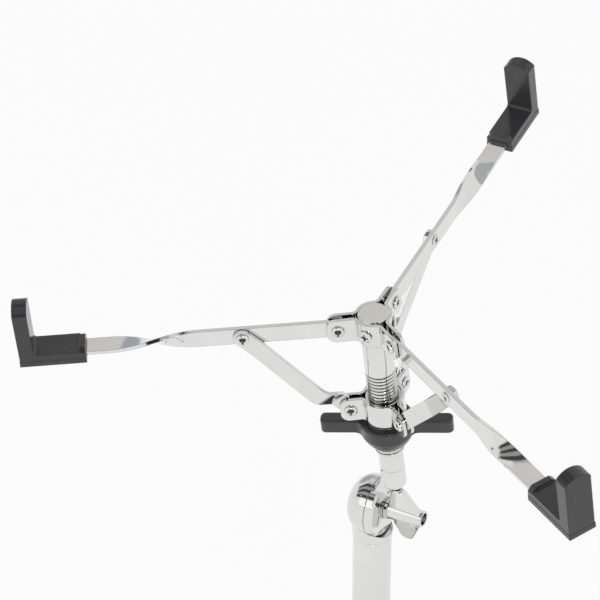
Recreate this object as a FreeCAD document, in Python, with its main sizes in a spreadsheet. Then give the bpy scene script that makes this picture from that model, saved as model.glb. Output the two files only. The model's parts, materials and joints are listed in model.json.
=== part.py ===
import FreeCAD, Part
import math
import os

import Sketcher

Vector = FreeCAD.Vector
Rotation = FreeCAD.Rotation
Placement = FreeCAD.Placement

X_AXIS = Vector(1, 0, 0)
Y_AXIS = Vector(0, 1, 0)
Z_AXIS = Vector(0, 0, 1)
FULL_TURN = 360
ARM_AZIMUTHS = (90, 210, 330)
LEG_AZIMUTHS = (270, 30, 150)
BETWEEN_ARMS = 60
LOCK_AZIMUTH = 150
CLAMP_AZIMUTH = 60
TWIST_STEPS = 10
TOOTH_COUNT = 30
TINY = 1e-6

# Driving sizes in millimetres and degrees
SIZES = (
    ("fit_gap", 0.05, "radial clearance of a running fit"),
    ("seat_gap", 0.02, "clearance of a seated fit"),
    ("side_gap", 0.3, "gap between faces that move past each other"),
    ("over", 1.0, "how far a cutter runs past a face"),
    ("rivet_r", 3.0, "rivet shank radius"),
    ("rivet_head_r", 4.2, "rivet head radius"),
    ("rivet_head_h", 1.7, "rivet head height"),
    ("rivet_dish", 0.8, "depth of the countersink in a rivet head"),
    ("rivet_lip", 1.5, "rivet head around that countersink"),
    ("rivet_bore_r", 1.8, "bored end of a rivet"),
    ("rivet_web", 0.8, "metal left at the foot of that bore"),
    ("rivet_end_r", 3.8, "riveted-over end of a link rivet"),
    ("rivet_end_h", 1.2, "height of that end"),
    ("screw_r", 2.1, "plate screw radius"),
    ("screw_rim_h", 0.8, "plain rim of a plate screw's head"),
    ("screw_top_r", 2.8, "flat top of a plate screw's head"),
    ("cross_half_w", 0.67, "half width of a screw's cross recess"),
    ("cross_reach", 2.3, "cross recess from the screw's axis"),
    ("cross_depth", 1.2, "depth of the cross recess"),
    ("pivot_h", 448.0, "height of the tilter axis"),
    ("tilt_deg", 13.0, "lean of the basket in the rest pose"),
    ("rod_offset", 18.5, "basket axis from the post axis, along the tilter axis"),
    ("hub_h", 165.8, "arm pivots above the tilter axis, along the basket axis"),
    ("arm_pivot_r", 22.3, "arm pivot from the basket axis"),
    ("arm_rise_deg", 1.8, "rise of the arms in the rest pose"),
    ("arm_w", 12.0, "width of the arm strip"),
    ("arm_t", 2.5, "thickness of the arm strip"),
    ("arm_link_x", 57.7, "link pivot along the arm"),
    ("arm_twist_from", 83.0, "start of the twist along the arm"),
    ("arm_twist_to", 44.0, "end of the twist back from the arm's end"),
    ("arm_len", 182.0, "arm from its pivot to its end"),
    ("grip_from", 29.7, "inner end of the rubber grip back from the arm's end"),
    ("grip_to", 10.9, "outer face of the rubber grip past the arm's end"),
    ("grip_half_w", 8.85, "half width of the grip"),
    ("grip_under", 4.8, "grip below the middle of the strip"),
    ("grip_floor", 3.7, "grip floor above the middle of the strip"),
    ("grip_rim_h", 1.9, "raised rim at the grip's inner end"),
    ("grip_rim_len", 3.6, "length of that rim"),
    ("grip_rim_bevel", 2.8, "bevel at the rim's ends"),
    ("grip_hollow", 2.0, "rounding between the grip's floor and its claw"),
    ("grip_soft", 0.5, "rounding of the claw's back edges"),
    ("grip_skirt", 3.6, "height of the grip's lower band"),
    ("grip_inset", 0.2, "step above the lower band"),
    ("claw_t", 8.9, "claw thickness at its root"),
    ("claw_tip_t", 9.2, "claw thickness at its tip"),
    ("claw_h", 44.4, "claw tip above the grip's underside"),
    ("claw_arch", 3.9, "drop of the arched tip at its corners"),
    ("plate_t", 2.0, "thickness of the bracket plates"),
    ("plate_h", 17.2, "height of the bracket plates"),
    ("ear_reach", 6.4, "bracket ear past its pivot"),
    ("ear_round", 5.6, "rounding of a bracket ear's corners"),
    ("plate_bend", 4.0, "bend radius of the bracket plates"),
    ("sleeve_r", 9.525, "sleeve radius"),
    ("sleeve_top", 8.2, "sleeve top above the arm pivots"),
    ("thread_top", 36.0, "thread top below the arm pivots"),
    ("sleeve_len", 114.0, "sleeve length"),
    ("thread_pitch", 2.75, "thread pitch"),
    ("thread_depth", 0.9, "thread depth"),
    ("thread_root", 1.25, "width of the thread groove at the crest"),
    ("thread_slope", 0.28, "slant of each flank of the groove"),
    ("rod_r", 7.95, "basket rod radius"),
    ("rod_wall", 1.6, "basket rod wall"),
    ("rod_from", 44.0, "lower end of the rod above the tilter axis"),
    ("cap_t", 1.2, "cap thickness"),
    ("cap_plug", 2.4, "cap's plug inside the sleeve"),
    ("cap_bevel", 0.6, "bevel around the cap"),
    ("soft", 1.2, "bevel of the turned pieces"),
    ("slider_pivot_r", 21.1, "link pivot from the basket axis on the slider"),
    ("slider_drop", 67.65, "slider pivots below the arm pivots"),
    ("slider_ring_r", 11.2, "slider ring outer radius"),
    ("slider_ring_up", 8.0, "slider ring above its pivots"),
    ("slider_ring_down", 10.4, "slider ring below its pivots"),
    ("link_w", 11.0, "link strap width"),
    ("link_t", 2.5, "link strap thickness"),
    ("link_bend_top", 11.0, "first bend from the link's upper pivot"),
    ("link_bend_low", 11.6, "last bend from the link's lower pivot"),
    ("link_bow", 10.6, "sideways bow of the link at its middle bend"),
    ("link_bow_at", 25.8, "middle bend from the link's lower pivot"),
    ("link_bow_r", 13.0, "radius of the middle bend"),
    ("link_bend_r", 3.0, "radius of the first and last bends"),
    ("nut_washer_t", 1.2, "washer between slider and nut"),
    ("nut_washer_r", 12.5, "its radius"),
    ("nut_top_r", 17.0, "nut hub radius at the top"),
    ("nut_low_r", 13.2, "nut hub radius at the bottom"),
    ("nut_h", 18.6, "nut hub height"),
    ("nut_span", 41.6, "nut wing tip from the axis"),
    ("nut_wing_w", 9.0, "nut wing width"),
    ("nut_wing_h", 9.5, "nut wing height"),
    ("nut_hollow", 6.0, "hollow corner between a wing and the nut's hub"),
    ("nut_tip_round", 3.4, "rounding of a wing's tip"),
    ("nut_round", 1.4, "rounding of the nut's upper edge"),
    ("nut_bowl_r", 24.0, "curve of the nut's underside"),
    ("nut_turn_deg", 22.0, "direction of the nut's wings"),
    ("insert_r", 11.4, "nut insert outer radius"),
    ("tilter_r", 20.0, "tilter disc radius"),
    ("tilter_seam", 3.2, "seam plane from the post axis"),
    ("tilter_disc_t", 5.8, "thickness of the head's disc"),
    ("tilter_dome", 16.7, "depth of the base's dome"),
    ("dome_nose_r", 8.0, "flat nose of the dome"),
    ("dome_rim_t", 4.0, "straight rim of the dome"),
    ("dome_bulge_x", 3.3, "middle of the dome's curve from its nose"),
    ("dome_bulge_r", 15.4, "radius of the dome there"),
    ("tooth_depth", 0.8, "depth of the ratchet teeth"),
    ("tooth_in_r", 12.0, "inner radius of the ratchet teeth"),
    ("tooth_lip", 1.6, "plain rim outside the ratchet teeth"),
    ("tooth_half_w", 1.85, "half width of a tooth gap"),
    ("tilter_bevel", 1.2, "bevel around the head's disc"),
    ("neck_half_w", 7.4, "half thickness of the head's neck"),
    ("neck_low", 26.4, "underside of the neck's round part above the axis"),
    ("neck_round", 3.0, "rounding of that underside"),
    ("neck_root_h", 10.5, "neck's start on the disc's back above the axis"),
    ("neck_under_x", 5.0, "middle of the neck's lower curve from the disc's back"),
    ("neck_under_h", 17.4, "height of that middle above the axis"),
    ("neck_top_in", 3.2, "neck's upper end inside the rod's side"),
    ("neck_mid_x", 8.2, "middle of the neck's upper curve from the seam"),
    ("neck_mid_h", 30.8, "height of that middle above the axis"),
    ("neck_foot_h", 18.0, "lower end of the neck's upper curve above the axis"),
    ("socket_h", 24.0, "underside of the base's socket below the axis"),
    ("spigot_len", 22.0, "spigot inside the post"),
    ("socket_step", 0.2, "step from the post to the socket"),
    ("socket_flare", 1.2, "flare of the socket"),
    ("socket_len", 16.8, "length of the socket"),
    ("bolt_r", 4.0, "bolt radius"),
    ("bolt_head_r", 7.0, "tilter bolt head radius"),
    ("bolt_head_h", 2.6, "tilter bolt head height"),
    ("tilter_washer_t", 1.2, "tilter washer thickness"),
    ("tilter_washer_r", 7.4, "tilter washer radius"),
    ("wing_flange_r", 7.0, "wing nut flange radius"),
    ("wing_flange_t", 2.2, "wing nut flange thickness"),
    ("wing_h", 26.0, "wing nut length"),
    ("wing_low_r", 6.2, "wing nut barrel radius at the flange"),
    ("wing_top_r", 5.3, "wing nut barrel radius at the end"),
    ("wing_tip", 20.0, "centre of the tilter wing nut's round tips from its axis"),
    ("bolt_wing_tip", 11.4, "centre of a wing bolt's round tips from its axis"),
    ("wing_tip_r", 5.4, "radius of the wing's round tip"),
    ("wing_mid", 11.5, "centre of the wing's round tip above its flange"),
    ("wing_t", 5.2, "wing thickness"),
    ("wing_soft", 1.3, "rounding of the wing's edges"),
    ("wing_root", 0.8, "wing's root inside the barrel"),
    ("wing_end", 1.4, "barrel past the wing's slope"),
    ("wing_hole_r", 3.4, "hole in the barrel's end"),
    ("wing_hole_depth", 6.0, "depth of that hole"),
    ("wing_turn_deg", 20.0, "turn of the tilter's wing nut"),
    ("post_r", 12.7, "post radius"),
    ("post_wall", 1.5, "post wall"),
    ("post_low", 170.0, "post lower end in the rest pose"),
    ("lock_r", 18.5, "memory lock radius"),
    ("lock_h", 15.0, "memory lock height"),
    ("lock_ear", 9.2, "memory lock's ear past its ring"),
    ("lock_ear_half", 9.2, "half width of that ear"),
    ("lock_slit", 1.2, "slit of the memory lock"),
    ("base_r", 15.0, "base tube radius"),
    ("base_wall", 1.2, "base tube wall"),
    ("base_low", 38.0, "base tube lower end"),
    ("base_top", 334.0, "base tube upper end"),
    ("bush_len", 38.0, "bush inside the base tube"),
    ("bush_flange_t", 2.0, "bush flange thickness"),
    ("bush_flange_r", 17.5, "bush flange radius"),
    ("clamp_r", 19.8, "height clamp radius"),
    ("clamp_h", 34.0, "height clamp height"),
    ("clamp_lug", 17.0, "clamp bolt from the post axis, beyond the clamp wall"),
    ("clamp_lug_half", 10.0, "half width of the clamp's lug"),
    ("clamp_slot", 2.4, "clamp slot width"),
    ("plug_len", 16.0, "end plug inside the base tube"),
    ("plug_t", 4.0, "end plug below the base tube"),
    ("leg_pivot_r", 27.0, "leg and strut pivots from the post axis"),
    ("low_pivot_h", 60.0, "bottom bracket pivots above the floor"),
    ("leg_span", 113.0, "pivot to pivot on a leg and on its strut"),
    ("leg_spread_deg", 46.7, "leg from the vertical in the rest pose"),
    ("leg_len", 296.0, "leg from its pivot to its end"),
    ("leg_half_w", 8.5, "half width of the leg channel"),
    ("leg_wall", 1.8, "wall of the leg channel"),
    ("leg_back", 7.0, "leg channel back from its pivot line"),
    ("leg_front", 6.0, "leg channel edge from its pivot line"),
    ("leg_end_h", 11.993, "leg's end above the floor on its pivot line"),
    ("leg_back_from", 10.0, "start of the channel's back from a pivot"),
    ("strut_back_to", 16.0, "end of the strut's back from its lower pivot"),
    ("strut_wall", 1.6, "wall of the strut channel"),
    ("strut_half_d", 4.8, "half depth of the strut channel"),
    ("foot_len", 26.0, "rubber foot over the leg"),
    ("foot_past", 16.0, "rubber foot past the leg's end"),
    ("foot_wall", 3.0, "rubber foot wall"),
    ("foot_round", 2.5, "rounding of the foot's edges"),
    ("collar_r", 19.2, "leg collar radius"),
    ("collar_h", 24.0, "leg collar height"),
    ("lug_r", 6.8, "round end of the collar's lugs"),
    ("low_lug_r", 5.6, "round end of the bottom bracket's lugs"),
    ("boss_r", 7.5, "radius of the collar's bolt boss"),
    ("boss_len", 29.0, "end of that boss from the post axis"),
    ("bracket_r", 18.4, "bottom bracket radius"),
    ("bracket_h", 24.0, "bottom bracket height"),
)

doc = FreeCAD.newDocument("snare_stand")
sheet = doc.addObject("Spreadsheet::Sheet", "sizes")
for row, (alias, value, meaning) in enumerate(SIZES, 1):
    sheet.set(f"A{row}", meaning)
    sheet.set(f"B{row}", str(value))
    sheet.setAlias(f"B{row}", alias)
doc.recompute()


class Dim:
    """A size, as a number and as the expression that binds a property to the sheet."""

    def __init__(self, value, text):
        self.value = value
        self.text = text

    def __add__(self, other):
        other = dim(other)
        return Dim(self.value + other.value, f"({self.text} + {other.text})")

    def __sub__(self, other):
        other = dim(other)
        return Dim(self.value - other.value, f"({self.text} - {other.text})")

    def __mul__(self, other):
        other = dim(other)
        return Dim(self.value * other.value, f"({self.text} * {other.text})")

    def __truediv__(self, other):
        other = dim(other)
        return Dim(self.value / other.value, f"({self.text} / {other.text})")

    def __neg__(self):
        return Dim(-self.value, f"(0 - {self.text})")


def dim(number):
    """A Dim from a Dim or a plain number."""
    return number if isinstance(number, Dim) else Dim(float(number), f"{float(number)}")


def size(alias):
    """The sheet's cell as a Dim."""
    return Dim(float(sheet.get(alias)), f"sizes.{alias}")


def mm(alias):
    """The sheet's cell as a number."""
    return float(sheet.get(alias))


ZERO = dim(0)
finished = {}


def done(obj, label, at=None):
    """Names a finished sub-part and puts it where it belongs."""
    obj.Label = label
    obj.Placement = at if at else Placement()
    finished[label] = obj
    return obj


def move(x=0.0, y=0.0, z=0.0):
    return Placement(Vector(x, y, z), Rotation())


def turn(axis, degrees):
    return Placement(Vector(), Rotation(axis, degrees))


# Sketched and turned pieces

def arc_through(start, end, radius, side):
    """Arc from start to end that bulges to the left of the way for side +1, to the right for -1."""
    way = end - start
    half = way.Length / 2
    rise = radius - math.sqrt(max(radius * radius - half * half, 0.0))
    left = Vector(-way.y, way.x, 0).normalize()
    return Part.Arc(start, (start + end) / 2 + left * rise * side, end)


def outline(body, role, points):
    """Closed sketch on one of the body's planes. A point is (x, y), or (x, y, radius, side) before an arc."""
    sketch = body.newObject("Sketcher::SketchObject", "outline")
    plane = next(f for f in body.Origin.OriginFeatures if f.Role == role)
    sketch.AttachmentSupport = [(plane, "")]
    sketch.MapMode = "FlatFace"
    spots = [Vector(dim(p[0]).value, dim(p[1]).value, 0) for p in points]
    ends = []
    for i, point in enumerate(points):
        start, end = spots[i], spots[(i + 1) % len(points)]
        if len(point) == 2:
            sketch.addGeometry(Part.LineSegment(start, end))
            ends.append((1, 2))
            continue
        first, last = (start, end) if point[3] < 0 else (end, start)
        sketch.addGeometry(arc_through(first, last, point[2].value, -1))
        begins = sketch.Geometry[i].StartPoint
        ends.append((1, 2) if (begins - start).Length < (begins - end).Length else (2, 1))
    for i in range(len(points)):
        after = (i + 1) % len(points)
        sketch.addConstraint(Sketcher.Constraint("Coincident", i, ends[i][1], after, ends[after][0]))
    for i, point in enumerate(points):
        for kind, value in (("DistanceX", dim(point[0])), ("DistanceY", dim(point[1]))):
            at = sketch.addConstraint(Sketcher.Constraint(kind, -1, 1, i, ends[i][0], value.value))
            sketch.setExpression(f"Constraints[{at}]", value.text)
        if len(point) > 2:
            at = sketch.addConstraint(Sketcher.Constraint("Radius", i, point[2].value))
            sketch.setExpression(f"Constraints[{at}]", point[2].text)
    return sketch


def turned(name, points):
    """Body turned about Z from an outline of (radius, height) points."""
    body = doc.addObject("PartDesign::Body", name)
    sketch = outline(body, "XZ_Plane", points)
    spin = body.newObject("PartDesign::Revolution", "spin")
    spin.Profile = sketch
    spin.ReferenceAxis = (sketch, ["V_Axis"])
    spin.Angle = FULL_TURN
    return body


def ring(name, outer, inner, low, high):
    """Turned tube or washer between two heights."""
    return turned(name, [(inner, low), (outer, low), (outer, high), (inner, high)])


# Bound primitives and booleans

def bind_at(obj, at):
    for letter, value in zip("xyz", at):
        obj.setExpression(f"Placement.Base.{letter}", dim(value).text)


def block(length, width, height, at):
    """Box from its low corner."""
    obj = doc.addObject("Part::Box", "block")
    for name, value in (("Length", length), ("Width", width), ("Height", height)):
        obj.setExpression(name, dim(value).text)
    bind_at(obj, at)
    return obj


def slab(low_x, high_x, half_y, low_z, high_z):
    """Box that is centred across Y."""
    low_x, high_x, half_y = dim(low_x), dim(high_x), dim(half_y)
    low_z, high_z = dim(low_z), dim(high_z)
    return block(high_x - low_x, half_y * 2, high_z - low_z, (low_x, -half_y, low_z))


def cylinder(radius, length, at, axis=Z_AXIS):
    obj = doc.addObject("Part::Cylinder", "cylinder")
    obj.Placement = Placement(Vector(), Rotation(Z_AXIS, axis))
    obj.setExpression("Radius", dim(radius).text)
    obj.setExpression("Height", dim(length).text)
    bind_at(obj, at)
    return obj


def joined(*pieces):
    obj = doc.addObject("Part::MultiFuse", "joined")
    obj.Shapes = list(pieces)
    obj.Refine = True
    return obj


def shared(*pieces):
    obj = doc.addObject("Part::MultiCommon", "shared")
    obj.Shapes = list(pieces)
    return obj


def cut(base, *tools):
    obj = doc.addObject("Part::Cut", "cut")
    obj.Base = base
    obj.Tool = tools[0] if len(tools) == 1 else joined(*tools)
    obj.Refine = True
    return obj


def placed(piece, at):
    """Piece whose own place is bound, moved as a whole."""
    obj = doc.addObject("Part::Compound", "placed")
    obj.Links = [piece]
    obj.Placement = at
    return obj


def shaped(label, shape, at=None):
    """Sub-part whose shape has no simple feature."""
    obj = doc.addObject("Part::Feature", label)
    obj.Shape = shape
    return done(obj, label, at)


def copies(label, piece, places):
    """Identical small pieces as separate solids of one sub-part."""
    doc.recompute()
    solids = []
    for at in places:
        solid = piece.Shape.copy()
        solid.Placement = at.multiply(solid.Placement)
        solids.append(solid)
    return shaped(label, Part.makeCompound(solids))


# Frames

def basket_frame():
    """Basket axis along Z, tilter axis at its origin."""
    return move(mm("rod_offset"), 0, mm("pivot_h")).multiply(turn(X_AXIS, mm("tilt_deg")))


def hub_frame(azimuth=0.0):
    """Basket axis along Z, arm pivots at height zero, an arm's plane at Y zero."""
    return basket_frame().multiply(move(z=mm("hub_h"))).multiply(turn(Z_AXIS, azimuth))


def arm_frame(azimuth):
    """Arm along X from its pivot."""
    return hub_frame(azimuth).multiply(move(mm("arm_pivot_r"))).multiply(turn(Y_AXIS, -mm("arm_rise_deg")))


def collar_h():
    """Leg pivots above the floor."""
    return mm("low_pivot_h") + 2 * mm("leg_span") * math.cos(math.radians(mm("leg_spread_deg")))


def floor_h():
    """Floor below the legs' ends."""
    return collar_h() - mm("leg_len") * math.cos(math.radians(mm("leg_spread_deg"))) - mm("leg_end_h")


def leg_frame(azimuth):
    """Leg along X from its pivot, the channel's back towards Z."""
    at = turn(Z_AXIS, azimuth).multiply(move(mm("leg_pivot_r"), 0, collar_h()))
    return at.multiply(turn(Y_AXIS, 90 - mm("leg_spread_deg")))


def strut_frame(azimuth):
    """Strut along X from its pivot on the leg to its lower pivot, its back towards Z."""
    at = leg_frame(azimuth).multiply(move(mm("leg_span")))
    return at.multiply(turn(Y_AXIS, 2 * mm("leg_spread_deg")))


def across(x=0.0, z=0.0):
    """Puts a piece that is turned about Z across an arm's or leg's plane."""
    return move(x, 0, z).multiply(turn(X_AXIS, -90))


# Rivets and wing screws

def dome_radius(radius, height):
    return (radius * radius + height * height) / (height * 2)


def rivet(name, low, high, low_r, low_h, high_r, high_h):
    """Rivet along Z with a rolled head outside each of two faces, bored from both ends to a web."""
    shank, lip, dish = size("rivet_r"), size("rivet_lip"), size("rivet_dish")
    bore_r, web = size("rivet_bore_r"), size("rivet_web")
    low_end, high_end = dim(low) - low_h, dim(high) + high_h
    middle = (low_end + high_end) / 2
    return turned(name, [
        (ZERO, middle - web), (bore_r, middle - web), (bore_r, low_end + dish),
        (dim(low_r) - lip, low_end, dome_radius(lip, dim(low_h)), -1), (low_r, low), (shank, low),
        (shank, high), (high_r, high, dome_radius(lip, dim(high_h)), -1),
        (dim(high_r) - lip, high_end), (bore_r, high_end - dish), (bore_r, middle + web),
        (ZERO, middle + web)])


def stub(name, inner, outer):
    """Half rivet with one rolled head, bored from that end to a web."""
    head_r, head_h, shank = size("rivet_head_r"), size("rivet_head_h"), size("rivet_r")
    lip, dish = size("rivet_lip"), size("rivet_dish")
    bore_r, foot = size("rivet_bore_r"), dim(inner) + size("rivet_web")
    end = dim(outer) + head_h
    return turned(name, [
        (ZERO, inner), (shank, inner), (shank, outer), (head_r, outer, dome_radius(lip, head_h), -1),
        (head_r - lip, end), (bore_r, end - dish), (bore_r, foot), (ZERO, foot)])


def touch(start, centre, radius, side):
    """Where a line from start touches a circle in the XZ plane."""
    way = centre - start
    far = way.Length
    ahead = Vector(way).normalize()
    aside = Vector(ahead.z, 0, -ahead.x) * side
    lean = math.asin(radius / far)
    return start + (ahead * math.cos(lean) + aside * math.sin(lean)) * math.sqrt(far * far - radius * radius)


def wing_plate(tip):
    """Both wings of a wing nut: petals that slope from a round tip to the barrel's end."""
    half_t, tip_r = mm("wing_t") / 2, mm("wing_tip_r")
    centre = Vector(mm(tip), 0, mm("wing_mid"))
    low = Vector(mm("wing_low_r") - mm("wing_root"), 0, mm("wing_flange_t"))
    high = Vector(mm("wing_top_r") - mm("wing_root"), 0, mm("wing_h") - mm("wing_end"))
    first, last = touch(low, centre, tip_r, 1), touch(high, centre, tip_r, -1)
    far = centre + (first + last - centre * 2).normalize() * tip_r

    def flip(point):
        return Vector(-point.x, 0, point.z)

    edges = [Part.makeLine(flip(low), low), Part.makeLine(low, first), Part.Arc(first, far, last).toShape(),
             Part.makeLine(last, high), Part.makeLine(high, flip(high)),
             Part.makeLine(flip(high), flip(last)),
             Part.Arc(flip(last), flip(far), flip(first)).toShape(), Part.makeLine(flip(first), flip(low))]
    face = Part.Face(Part.Wire(edges))
    face.translate(Vector(0, -half_t, 0))
    plate = face.extrude(Vector(0, 2 * half_t, 0))
    rims = [e for e in plate.Edges if abs(abs(e.CenterOfMass.y) - half_t) < TINY]
    return plate.makeFillet(mm("wing_soft"), rims)


def wing_blank(tip):
    """Barrel and two wings of a wing nut, standing on its flange."""
    high, hole_r = size("wing_h"), size("wing_hole_r")
    flange_r, flange_t = size("wing_flange_r"), size("wing_flange_t")
    barrel = turned("barrel", [
        (ZERO, ZERO), (flange_r, ZERO), (flange_r, flange_t), (size("wing_low_r"), flange_t),
        (size("wing_top_r"), high), (hole_r, high), (hole_r, high - size("wing_hole_depth")),
        (ZERO, high - size("wing_hole_depth"))])
    wings = doc.addObject("Part::Feature", "wings")
    wings.Shape = wing_plate(tip)
    return [barrel, wings]


# Basket

def plate_outline(mid_r, pivot_r, half_gap, reach):
    """Plan of a bracket plate that wraps the sleeve between two arms, middle towards X."""
    half_t, bend = mm("plate_t") / 2, mm("plate_bend")
    lateral = half_gap + half_t
    third = math.radians(BETWEEN_ARMS)
    out = Vector(math.cos(third), math.sin(third), 0)
    side = Vector(math.sin(third), -math.cos(third), 0)
    along = math.sqrt((mid_r + bend) ** 2 - (lateral + bend) ** 2)
    centre = out * along + side * (lateral + bend)
    to_centre = Vector(centre).normalize()
    halfway = (to_centre * -1 - side).normalize()
    tip = pivot_r + reach

    def chain(sign):
        """Points of one face: arc end, bend middle, bend end, ear tip."""
        return (to_centre * (mid_r + half_t * sign), centre + halfway * (bend - half_t * sign),
                out * along + side * (lateral + half_t * sign), out * tip + side * (lateral + half_t * sign))

    def flip(point):
        return Vector(point.x, -point.y, 0)

    outer, inner = chain(1), chain(-1)
    far, near = Vector(mid_r + half_t, 0, 0), Vector(mid_r - half_t, 0, 0)
    edges = [
        Part.Arc(flip(outer[0]), far, outer[0]).toShape(),
        Part.Arc(outer[0], outer[1], outer[2]).toShape(),
        Part.makeLine(outer[2], outer[3]),
        Part.makeLine(outer[3], inner[3]),
        Part.makeLine(inner[3], inner[2]),
        Part.Arc(inner[2], inner[1], inner[0]).toShape(),
        Part.Arc(inner[0], near, flip(inner[0])).toShape(),
        Part.Arc(flip(inner[0]), flip(inner[1]), flip(inner[2])).toShape(),
        Part.makeLine(flip(inner[2]), flip(inner[3])),
        Part.makeLine(flip(inner[3]), flip(outer[3])),
        Part.makeLine(flip(outer[3]), flip(outer[2])),
        Part.Arc(flip(outer[2]), flip(outer[1]), flip(outer[0])).toShape(),
    ]
    return Part.Face(Part.Wire(edges))


def plate_shape(wrap_r, pivot_r, screw_r):
    """Bracket plate with round ears, pierced for its rivets and its screw."""
    high, reach = mm("plate_h"), mm("ear_reach")
    wide = 4 * pivot_r
    half_gap = mm("arm_t") / 2 + mm("side_gap")
    plan = plate_outline(wrap_r + mm("plate_t") / 2, pivot_r, half_gap, reach)
    plan.translate(Vector(0, 0, -high / 2))
    shape = plan.extrude(Vector(0, 0, high))
    for side in (-BETWEEN_ARMS, BETWEEN_ARMS):
        mask = Part.makeBox(wide + pivot_r + reach, 2 * wide, high, Vector(-wide, -wide, -high / 2))
        ends = [e for e in mask.Edges if abs(e.CenterOfMass.x - pivot_r - reach) < TINY]
        ends = [e for e in ends if abs(e.CenterOfMass.y) < TINY]
        mask = mask.makeFillet(mm("ear_round"), ends)
        hole = Part.makeCylinder(mm("rivet_r") + mm("seat_gap"), 2 * wide, Vector(pivot_r, -wide, 0), Y_AXIS)
        for tool in (mask, hole):
            tool.rotate(Vector(), Z_AXIS, side)
        shape = shape.common(mask).cut(hole)
    if screw_r:
        shape = shape.cut(Part.makeCylinder(screw_r, wide, Vector(), X_AXIS))
    return shape


def top_bracket():
    """Three plates around the sleeve, their screws and the arm rivets."""
    wrap_r = mm("sleeve_r") + mm("seat_gap")
    plate = plate_shape(wrap_r, mm("arm_pivot_r"), mm("screw_r"))
    for i, azimuth in enumerate(ARM_AZIMUTHS, 1):
        shaped(f"top_plate_{i}", plate.copy(), hub_frame(azimuth + BETWEEN_ARMS))
    head_r, head_h = size("rivet_head_r"), size("rivet_head_h")
    face = size("sleeve_r") + size("seat_gap") + size("plate_t")
    shank = size("screw_r") - size("seat_gap")
    recess = size("cross_depth")
    screw = turned("screw", [
        (ZERO, size("sleeve_r") + size("seat_gap")), (shank, size("sleeve_r") + size("seat_gap")),
        (shank, face), (head_r, face), (head_r, face + size("screw_rim_h")),
        (size("screw_top_r"), face + head_h), (ZERO, face + head_h)])
    half, long = size("cross_half_w"), size("cross_reach")
    cross = joined(
        block(long * 2, half * 2, recess * 2, (-long, -half, face + head_h - recess)),
        block(half * 2, long * 2, recess * 2, (-half, -long, face + head_h - recess)))
    driven = cut(screw, cross)
    places = [hub_frame(a + BETWEEN_ARMS).multiply(turn(Y_AXIS, 90)) for a in ARM_AZIMUTHS]
    copies("top_plate_screws", driven, places)
    grip = size("arm_t") / 2 + size("side_gap") + size("plate_t")
    pin = rivet("arm_rivet", -grip, grip, head_r, head_h, head_r, head_h)
    copies("arm_rivets", pin, [hub_frame(a).multiply(across(mm("arm_pivot_r"))) for a in ARM_AZIMUTHS])


def arm_shape():
    """Strip on edge at its pivot, twisted a quarter turn, flat at its end."""
    wide, thick = mm("arm_w"), mm("arm_t")
    end = mm("arm_len")
    start, stop = mm("arm_twist_from"), end - mm("arm_twist_to")
    upright = Part.makeBox(start, thick, wide, Vector(0, -thick / 2, -wide / 2))
    knuckle = Part.makeCylinder(wide / 2, thick, Vector(0, -thick / 2, 0), Y_AXIS)
    flat = Part.makeBox(end - stop, wide, thick, Vector(stop, -wide / 2, -thick / 2))
    sections = []
    for i in range(TWIST_STEPS + 1):
        share = i / TWIST_STEPS
        angle = math.pi / 2 * share * share * (3 - 2 * share)
        across_w = Vector(0, math.sin(angle), math.cos(angle)) * (wide / 2)
        across_t = Vector(0, math.cos(angle), -math.sin(angle)) * (thick / 2)
        middle = Vector(start + (stop - start) * share, 0, 0)
        corners = [middle + across_w + across_t, middle + across_w - across_t,
                   middle - across_w - across_t, middle - across_w + across_t]
        sections.append(Part.makePolygon(corners + corners[:1]))
    twist = Part.makeLoft(sections, True, False)
    shape = upright.fuse([knuckle, twist, flat]).removeSplitter()
    for x, gap in ((0, mm("fit_gap")), (mm("arm_link_x"), mm("seat_gap"))):
        shape = shape.cut(Part.makeCylinder(mm("rivet_r") + gap, 2 * wide, Vector(x, -wide, 0), Y_AXIS))
    return shape


def box_between(x0, x1, half_y, z0, z1):
    return Part.makeBox(x1 - x0, 2 * half_y, z1 - z0, Vector(x0, -half_y, z0))


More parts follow.
